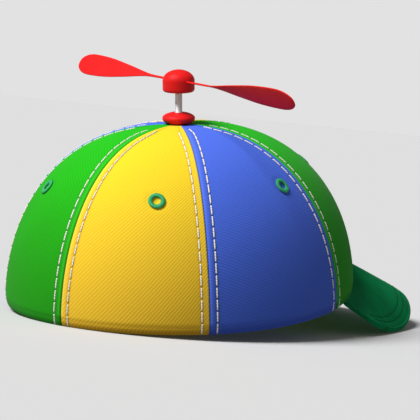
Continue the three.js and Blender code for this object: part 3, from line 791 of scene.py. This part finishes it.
# %% Build the peak
across = np.linspace(-1, 1, 181)[:, None]
out = (1 - np.linspace(1, 0, 64) ** 1.25)[None, :]
top = peak_surface(across, out)
away = edge_distance(across, out)
relief = peak_relief(away) * ramp(away[:, :1], 0.5, 4)
upper = top.copy()
upper[..., 2] += relief
thinning = ramp(np.abs(across), PEAK_THINNING_SHARE, 1)
thickness = PEAK_THICKNESS * (1 - thinning) + PEAK_END_THICKNESS * thinning
lower = top.copy()
lower[..., 2] -= thickness + relief
roll = np.linspace(0, np.pi, 9)[1:-1][None, :, None]
edge_out = top[:, -1] - top[:, -2]
edge_out[:, 2] = 0
edge_out = unit(edge_out + [0, -1e-9, 0])[:, None]  # a hair forwards, so that none is zero
half = thickness[..., None] / 2
rounded = top[:, -1:] + edge_out * (half * np.sin(roll))
middle_roll = half - (half + relief[:, -1:, None]) * np.cos(roll)
rounded[..., 2] -= middle_roll[..., 0]
peak_grid = np.concatenate([upper, rounded, lower[:, ::-1]], axis=1)
flat = np.concatenate(
    [top[..., :2], np.repeat(top[:, -1:, :2], roll.size, axis=1), top[:, ::-1, :2]], axis=1
)
peak_mesh = closed_mesh("peak_cover", peak_grid, loop_columns=True, cloth=flat)

# %% [markdown]
# ## Smooth cotton of the peak
#
# The peak's cloth is a plain weave: over one, under one, so it shows a fine even grain and no
# diagonal. Two sets of fine waves, one along each thread direction, multiply to a tiny
# checkerboard. The board below keeps it flat, and the weave is tight enough for a faint gloss.

# %% Plain-weave cotton
def plain_weave(name, lit, shaded, pitch):
    """Plain-woven dyed cotton, with threads pitch millimetres apart each way."""
    material, tree, output = new_material(name)
    layout = add_node(tree, "UVMap", uv_map="cloth").outputs["UV"]
    warp = add_node(
        tree, "TexWave", {"Vector": layout, "Scale": BANDS_PERIOD / pitch, "Distortion": 0.4},
        bands_direction="X",
    ).outputs["Fac"]
    weft = add_node(
        tree, "TexWave", {"Vector": layout, "Scale": BANDS_PERIOD / pitch, "Distortion": 0.4},
        bands_direction="Y",
    ).outputs["Fac"]
    grain = add_node(tree, "Math", {0: warp, 1: weft}, operation="MULTIPLY").outputs[0]
    cloudy = add_node(
        tree, "TexNoise", {"Vector": layout, "Scale": 0.06, "Detail": 3.0}
    ).outputs["Fac"]
    mixed = add_node(
        tree, "Math", {0: grain, 1: 0.5, 2: cloudy}, operation="MULTIPLY_ADD"
    ).outputs[0]
    share = add_node(
        tree, "MapRange", {"Value": mixed, "From Min": 0.3, "From Max": 0.95}
    ).outputs["Result"]
    colour = add_node(
        tree, "Mix", {"Factor": share, 6: linear(shaded), 7: linear(lit)}, data_type="RGBA"
    ).outputs[2]
    raised = add_node(tree, "Bump", {"Height": grain, "Strength": 0.35, "Distance": 0.00012})
    shader = add_node(
        tree,
        "BsdfPrincipled",
        {"Base Color": colour, "Normal": raised.outputs["Normal"], "Roughness": 0.8,
         "Specular IOR Level": 0.02},
    )
    tree.links.new(shader.outputs["BSDF"], output.inputs["Surface"])
    return material


place(
    "peak_cover", peak_mesh, plain_weave("plain_weave_cotton", "#05824A", "#046438", pitch=0.9),
    "cap", "peak",
)

# %% Stitches of the peak
PEAK_STITCH_REACH = 0.87
PEAK_STITCH_END = 2.5
PEAK_STITCH_SINK = 0.3


def peak_path(line, underside):
    """A row of stitches at a distance from the peak's edge, on its top face or below it."""
    across = np.linspace(-PEAK_STITCH_REACH, PEAK_STITCH_REACH, 900)
    length = edge_distance(across, np.zeros(across.shape))
    keep = length > line + PEAK_STITCH_END
    across, length = across[keep], length[keep]
    path = peak_surface(across, 1 - line / length)
    ahead = np.gradient(path, axis=0)
    inward = path - peak_surface(across, 1 - (line + 1) / length)
    outward = unit(np.cross(inward, ahead))
    outward *= np.sign(outward[:, 2:])
    if underside:
        return path - [0, 0, PEAK_THICKNESS - PEAK_STITCH_SINK], -outward
    return path - [0, 0, PEAK_STITCH_SINK], outward


peak_cotton = twisted_thread(
    "peak_cotton_thread", "#046038", "#034626", ply_pitch=0.8, roughness=0.88
)
rows = [peak_path(line, underside) for line in PEAK_STITCH_LINES for underside in (False, True)]
stitch_rows(
    "peak_stitching", [row[0] for row in rows], [row[1] for row in rows],
    length=3.0, gap=0.9, width=0.6, plump=0.5, material=peak_cotton, body="cap",
)

# %% [markdown]
# ## Moulded plastic
#
# The button, the hub and the blades are injection-moulded polypropylene, dyed red all the way
# through. The moulds are plain, so the plastic is smooth with a broad, soft gloss, and it has a very
# slight waviness where it shrank as it cooled. Polypropylene's IOR is about 1.49. Its reflection is
# turned down to a fifth of what that gives, also a liberty, which keeps the highlights faint.

# %% Red polypropylene
def moulded_polypropylene(name, lit, shaded):
    """Dyed polypropylene from a plain mould: almost even colour, soft gloss, faint waviness."""
    material, tree, output = new_material(name)
    place_here = add_node(tree, "TexCoord").outputs["Object"]
    flow = add_node(
        tree, "TexNoise", {"Vector": place_here, "Scale": 60.0, "Detail": 3.0}
    ).outputs["Fac"]
    colour = add_node(
        tree, "Mix", {"Factor": flow, 6: linear(shaded), 7: linear(lit)}, data_type="RGBA"
    ).outputs[2]
    scuffs = add_node(
        tree, "TexNoise", {"Vector": place_here, "Scale": 900.0, "Detail": 4.0}
    ).outputs["Fac"]
    gloss = add_node(
        tree, "MapRange",
        {"Value": scuffs, "From Min": 0.3, "From Max": 0.7, "To Min": 0.42, "To Max": 0.54},
    ).outputs["Result"]
    ripple = add_node(tree, "Bump", {"Height": flow, "Strength": 0.12, "Distance": 0.0004})
    shader = add_node(
        tree,
        "BsdfPrincipled",
        {"Base Color": colour, "Normal": ripple.outputs["Normal"], "Roughness": gloss, "IOR": 1.49,
         "Specular IOR Level": 0.1},
    )
    tree.links.new(shader.outputs["BSDF"], output.inputs["Surface"])
    return material


red_polypropylene = moulded_polypropylene("moulded_red_polypropylene", "#DE1F1F", "#CC1516")

# %% [markdown]
# ## Turned shapes
#
# The button, the shaft and the hub are all round, so each is a profile of radius and height,
# carried round the shaft. Corners are never perfectly sharp on a real piece, and a small arc at
# each of them catches a thin line of light.

# %% Carry a profile round the shaft
SHAFT_RADIUS = 1.8
BORE_RADIUS = 2.1
BUTTON_BOTTOM = CROWN_HEIGHT + 0.3
BUTTON_HEIGHT = 5.8
BUTTON_RADIUS = 8.3
BUTTON_FLAT_RADIUS = 5.146
BUTTON_HOLE_LIP = 2.5
HUB_BOTTOM = BUTTON_BOTTOM + BUTTON_HEIGHT + 10.1
HUB_RADIUS = 8.1
HUB_HEIGHT = 11.3
HUB_DOME = 5.6
HUB_EDGE = 1.6
HUB_BORE_DEPTH = 7.9
WASHER_RADIUS = 6.5
WASHER_THICKNESS = 1.2
METAL_EDGE = 0.3


def arc(half, centre, start, end, steps=14):
    """Radius and height pairs along an ellipse's arc, between two turns in degrees."""
    turn = np.radians(np.linspace(start, end, steps))
    return np.stack([centre[0] + half[0] * np.cos(turn), centre[1] + half[1] * np.sin(turn)], -1)


def carried_round(name, profile, closed, segments=96):
    """A profile carried round the shaft: x and y are its radius times cosine and sine."""
    turn = np.linspace(0, 2 * np.pi, segments, endpoint=False)[None, :]
    radius, height = profile[:, :1], profile[:, 1:]
    points = np.broadcast_arrays(radius * np.cos(turn), radius * np.sin(turn), height)
    return closed_mesh(name, np.stack(points, -1), loop_rows=closed, loop_columns=True)


# %% [markdown]
# ## Button, shaft and hub
#
# The button is a plump cushion that clamps the crown's top, with the shaft through its middle. A
# washer at the shaft's foot holds it from inside. The hub turns on the shaft: a short straight
# side with a rounded lower edge, under a dome like half an egg.

# %% Button
widest = BUTTON_HEIGHT * 0.45
hole_turn = np.degrees(np.arccos(BUTTON_HOLE_LIP / BUTTON_RADIUS))
button_profile = np.concatenate([
    [[BORE_RADIUS, 0.0]],
    arc((BUTTON_RADIUS - BUTTON_FLAT_RADIUS, widest), (BUTTON_FLAT_RADIUS, widest), -90, 0),
    arc((BUTTON_RADIUS, BUTTON_HEIGHT - widest), (0, widest), 0, hole_turn, 20)[1:],
    arc((0.4, 0.4), (BUTTON_HOLE_LIP, BUTTON_HEIGHT - 0.55), 90, 180, 6),
]) + [0, BUTTON_BOTTOM]
place("button_cushion", carried_round("button_cushion", button_profile, True), red_polypropylene,
      "cap", "button")

# %% Hub
hub_profile = np.concatenate([
    [[0, HUB_BORE_DEPTH], [BORE_RADIUS, HUB_BORE_DEPTH], [BORE_RADIUS, 0.2], [BORE_RADIUS + 0.2, 0]],
    arc((HUB_EDGE, HUB_EDGE), (HUB_RADIUS - HUB_EDGE, HUB_EDGE), -90, 0),
    arc((HUB_RADIUS, HUB_DOME), (0, HUB_HEIGHT - HUB_DOME), 0, 90, 24),
]) + [0, HUB_BOTTOM]
place("hub_dome", carried_round("hub_dome", hub_profile, False), red_polypropylene,
      "propeller", "propeller_hub")

# %% [markdown]
# ## Drawn aluminium
#
# The shaft is a piece of drawn aluminium rod. Pulling it through a die leaves fine straight lines
# along its length, so a noise that is stretched a hundredfold along the rod varies its gloss. Real
# aluminium is a metal through and through, and mirrors what is round it. Here that is mostly the
# shade under the hub, and the rod would look too dark, so only a third of the shader is metallic.
# That is a liberty taken for the look.

# %% Shaft
def drawn_aluminium(name, bright, dull):
    """Pale, partly metallic rod, with fine lines from noise that is stretched along it."""
    material, tree, output = new_material(name)
    place_here = add_node(tree, "TexCoord").outputs["Object"]
    stretched = add_node(
        tree, "Mapping", {"Vector": place_here, "Scale": (1, 1, 0.01)}
    ).outputs["Vector"]
    lines = add_node(
        tree, "TexNoise", {"Vector": stretched, "Scale": 2500.0, "Detail": 3.0}
    ).outputs["Fac"]
    colour = add_node(
        tree, "Mix", {"Factor": lines, 6: linear(dull), 7: linear(bright)}, data_type="RGBA"
    ).outputs[2]
    gloss = add_node(
        tree, "MapRange",
        {"Value": lines, "From Min": 0.3, "From Max": 0.7, "To Min": 0.5, "To Max": 0.62},
    ).outputs["Result"]
    shader = add_node(
        tree, "BsdfPrincipled", {"Base Color": colour, "Roughness": gloss, "Metallic": 0.35}
    )
    tree.links.new(shader.outputs["BSDF"], output.inputs["Surface"])
    return material


washer_top = CROWN_HEIGHT - 2.1
shaft_top = HUB_BOTTOM + 7.6
washer_bottom = washer_top - WASHER_THICKNESS
edge_arc = (METAL_EDGE, METAL_EDGE)
shaft_profile = np.concatenate([
    [[0, washer_bottom]],
    arc(edge_arc, (WASHER_RADIUS - METAL_EDGE, washer_bottom + METAL_EDGE), -90, 0, 5),
    arc(edge_arc, (WASHER_RADIUS - METAL_EDGE, washer_top - METAL_EDGE), 0, 90, 5),
    [[SHAFT_RADIUS, washer_top]],
    arc(edge_arc, (SHAFT_RADIUS - METAL_EDGE, shaft_top - METAL_EDGE), 0, 90, 5),
    [[0, shaft_top]],
])
place("shaft_rod", carried_round("shaft_rod", shaft_profile, False, 64),
      drawn_aluminium("drawn_aluminium", "#F2F4F4", "#D2D6D6"), "cap", "shaft")

# %% [markdown]
# ## Blades
#
# Each blade starts as a slim flat strip in the hub, widens towards its tip and twists on the way,
# so that it stands steep at the tip and pushes the air. Its section is a thin, flat oval. The
# width and the twist come from a short table of shares of the reach, with a smooth curve through
# the table's rows, and the tip is rounded off by a superellipse.

# %% Blades
BLADE_REACH = 94
BLADE_ROOT = 3.4
BLADE_ROOT_WIDTH, BLADE_WIDTH = 2.2, 12.1
BLADE_ROOT_PITCH, BLADE_TIP_PITCH = 3, 60
BLADE_TIP_SHARE, BLADE_TIP_POWER = 0.16, 2.4
BLADE_HALF_THICKNESS = 0.45
BLADE_TABLE = np.array([
    [0, 0, 0], [0.1, 0.01, 0.01], [0.19, 0.05, 0.08], [0.3, 0.21, 0.5], [0.41, 0.44, 0.77],
    [0.52, 0.65, 0.9], [0.63, 0.85, 0.97], [0.75, 0.97, 1], [1, 1, 1],
])
PROPELLER_TURN = np.radians(159)


def smooth_table(share, column):
    """A cubic through the table's rows, with the slope of the rows beside it at each one."""
    reach, value = BLADE_TABLE[:, 0], BLADE_TABLE[:, column]
    slope = np.gradient(value, reach)
    row = np.clip(np.searchsorted(reach, share) - 1, 0, len(reach) - 2)
    width = reach[row + 1] - reach[row]
    t = (share - reach[row]) / width
    return (
        (2 * t**3 - 3 * t**2 + 1) * value[row]
        + (t**3 - 2 * t**2 + t) * width * slope[row]
        + (3 * t**2 - 2 * t**3) * value[row + 1]
        + (t**3 - t**2) * width * slope[row + 1]
    )


def blade_grid(turn):
    """A twisted, tapering oval along the reach of the blade, turned to its place round the shaft."""
    hub_edge = HUB_RADIUS + 0.3
    spread = hub_edge + (BLADE_REACH - hub_edge) * np.sin(np.linspace(0, np.pi / 2, 110))
    station = np.concatenate([np.linspace(BLADE_ROOT, hub_edge, 6)[:-1], spread])
    share = np.clip((station - hub_edge) / (BLADE_REACH - hub_edge), 0, 1)
    tip = np.clip(1 - (1 - share) / BLADE_TIP_SHARE, 0, 1)
    rounding = np.sqrt(np.maximum(1 - tip**BLADE_TIP_POWER, 0.0002))
    widening, twist = (np.clip(smooth_table(share, column), 0, 1) for column in (1, 2))
    chord = (BLADE_ROOT_WIDTH + (BLADE_WIDTH - BLADE_ROOT_WIDTH) * widening) * rounding
    pitch = np.radians(BLADE_ROOT_PITCH + (BLADE_TIP_PITCH - BLADE_ROOT_PITCH) * twist)[:, None]
    oval = np.linspace(0, 2 * np.pi, 28, endpoint=False)[None, :]
    thick = BLADE_HALF_THICKNESS * np.minimum(1, rounding * 2.2)[:, None]
    along = chord[:, None] / 2 * np.sign(np.cos(oval)) * np.abs(np.cos(oval)) ** 0.7
    rise = thick * np.sign(np.sin(oval)) * np.abs(np.sin(oval)) ** 0.6
    y = along * np.cos(pitch) + rise * np.sin(pitch)
    z = rise * np.cos(pitch) - along * np.sin(pitch)
    x = station[:, None]
    turned = [x * np.cos(turn) - y * np.sin(turn), x * np.sin(turn) + y * np.cos(turn)]
    return np.stack([*turned, HUB_BOTTOM + HUB_HEIGHT - HUB_DOME + z], -1)


for number, turn in enumerate((PROPELLER_TURN, PROPELLER_TURN + np.pi), start=1):
    name = "blade_" + str(number)
    mesh = closed_mesh(name, blade_grid(turn), loop_columns=True)
    place(name, mesh, red_polypropylene, "propeller", "propeller_" + name)

# %% [markdown]
# ## Floor, light and camera
#
# A plain pale floor takes the shadow. One large soft lamp stands high on the left, so the top and
# the left glow and the right falls into shade, which shows the crown's round form. The sky is
# white near the horizon and dimmer above and below it, so it fills the shadows without flattening
# them. A real floor would throw some light back up at the cap. This one doesn't, which keeps the
# low parts as dark as they should look.

# %% Floor
FLOOR_HALF = 40.0
floor_mesh = bpy.data.meshes.new("floor")
corners = [(x * FLOOR_HALF, y * FLOOR_HALF, 0) for x, y in ((-1, -1), (1, -1), (1, 1), (-1, 1))]
floor_mesh.from_pydata(corners, [], [(0, 1, 2, 3)])
floor = bpy.data.objects.new("floor", floor_mesh)
bpy.context.scene.collection.objects.link(floor)
painted, tree, output = new_material("matt_pale_paint")
shader = add_node(
    tree,
    "BsdfPrincipled",
    {"Base Color": linear("#C2C2C2"), "Roughness": 0.95, "Specular IOR Level": 0.0},
)
tree.links.new(shader.outputs["BSDF"], output.inputs["Surface"])
floor_mesh.materials.append(painted)
floor.visible_diffuse = False

# %% Camera
# The camera's place and heading, upright: millimetres from the middle of the rim
camera_place = np.array([-534.34, 785.22, 233.79])
heading, pitch, roll = np.radians([56.723, 11.317, 0.082])
level = np.array([np.cos(heading), -np.sin(heading), 0])
forward = np.cos(pitch) * level - np.sin(pitch) * UP
right = unit(np.cross(forward, UP))
above = np.cross(right, forward)
right, above = (
    right * np.cos(roll) + above * np.sin(roll),
    above * np.cos(roll) - right * np.sin(roll),
)
origin = set_down(np.zeros(3))
axes = [set_down(direction) - origin for direction in (right, above, -forward)]
camera = bpy.data.cameras.new("camera")
camera.lens = 162.857
camera.sensor_width = 36
camera.clip_end = 200
viewer = bpy.data.objects.new("camera", camera)
pose = Matrix.Identity(4)
for column, axis in enumerate(axes):
    pose.col[column][:3] = unit(axis).tolist()
pose.col[3][:3] = set_down(camera_place).tolist()
viewer.matrix_world = pose
bpy.context.scene.collection.objects.link(viewer)
bpy.context.scene.camera = viewer
print("The camera stands", round(pose.col[3][2] * 1000), "mm over the floor")

# %% Light
left, near = -unit(axes[0]), unit(axes[2] * [1, 1, 0])
toward_lamp = unit(0.6 * left + 0.9 * UP + 0.38 * near)
lamp = bpy.data.lights.new("soft_lamp", "SUN")
lamp.energy = 4.8
lamp.angle = np.radians(28)
lamp_object = bpy.data.objects.new("soft_lamp", lamp)
lamp_object.rotation_mode = "QUATERNION"
lamp_object.rotation_quaternion = Vector(toward_lamp.tolist()).to_track_quat("Z", "Y")
bpy.context.scene.collection.objects.link(lamp_object)

world = bpy.data.worlds.new("studio")
world.use_nodes = True
world.node_tree.nodes.clear()
tree = world.node_tree
direction = add_node(tree, "TexCoord").outputs["Generated"]
sky = add_node(tree, "SeparateXYZ", {"Vector": direction}).outputs["Z"]
dimming = add_node(
    tree, "MapRange",
    {"Value": sky, "From Min": 0.08, "From Max": 0.3, "To Min": 0.76, "To Max": 0.18},
).outputs["Result"]
below = add_node(
    tree, "MapRange",
    {"Value": sky, "From Min": -0.08, "From Max": -0.02, "To Min": 0.33, "To Max": 1.0},
).outputs["Result"]
strength = add_node(tree, "Math", {0: dimming, 1: below}, operation="MULTIPLY").outputs[0]
background = add_node(tree, "Background", {"Color": linear("#FFFFFF"), "Strength": strength})
output = add_node(tree, "OutputWorld", {"Surface": background.outputs["Background"]})
bpy.context.scene.world = world
bpy.context.scene.view_settings.view_transform = "Standard"
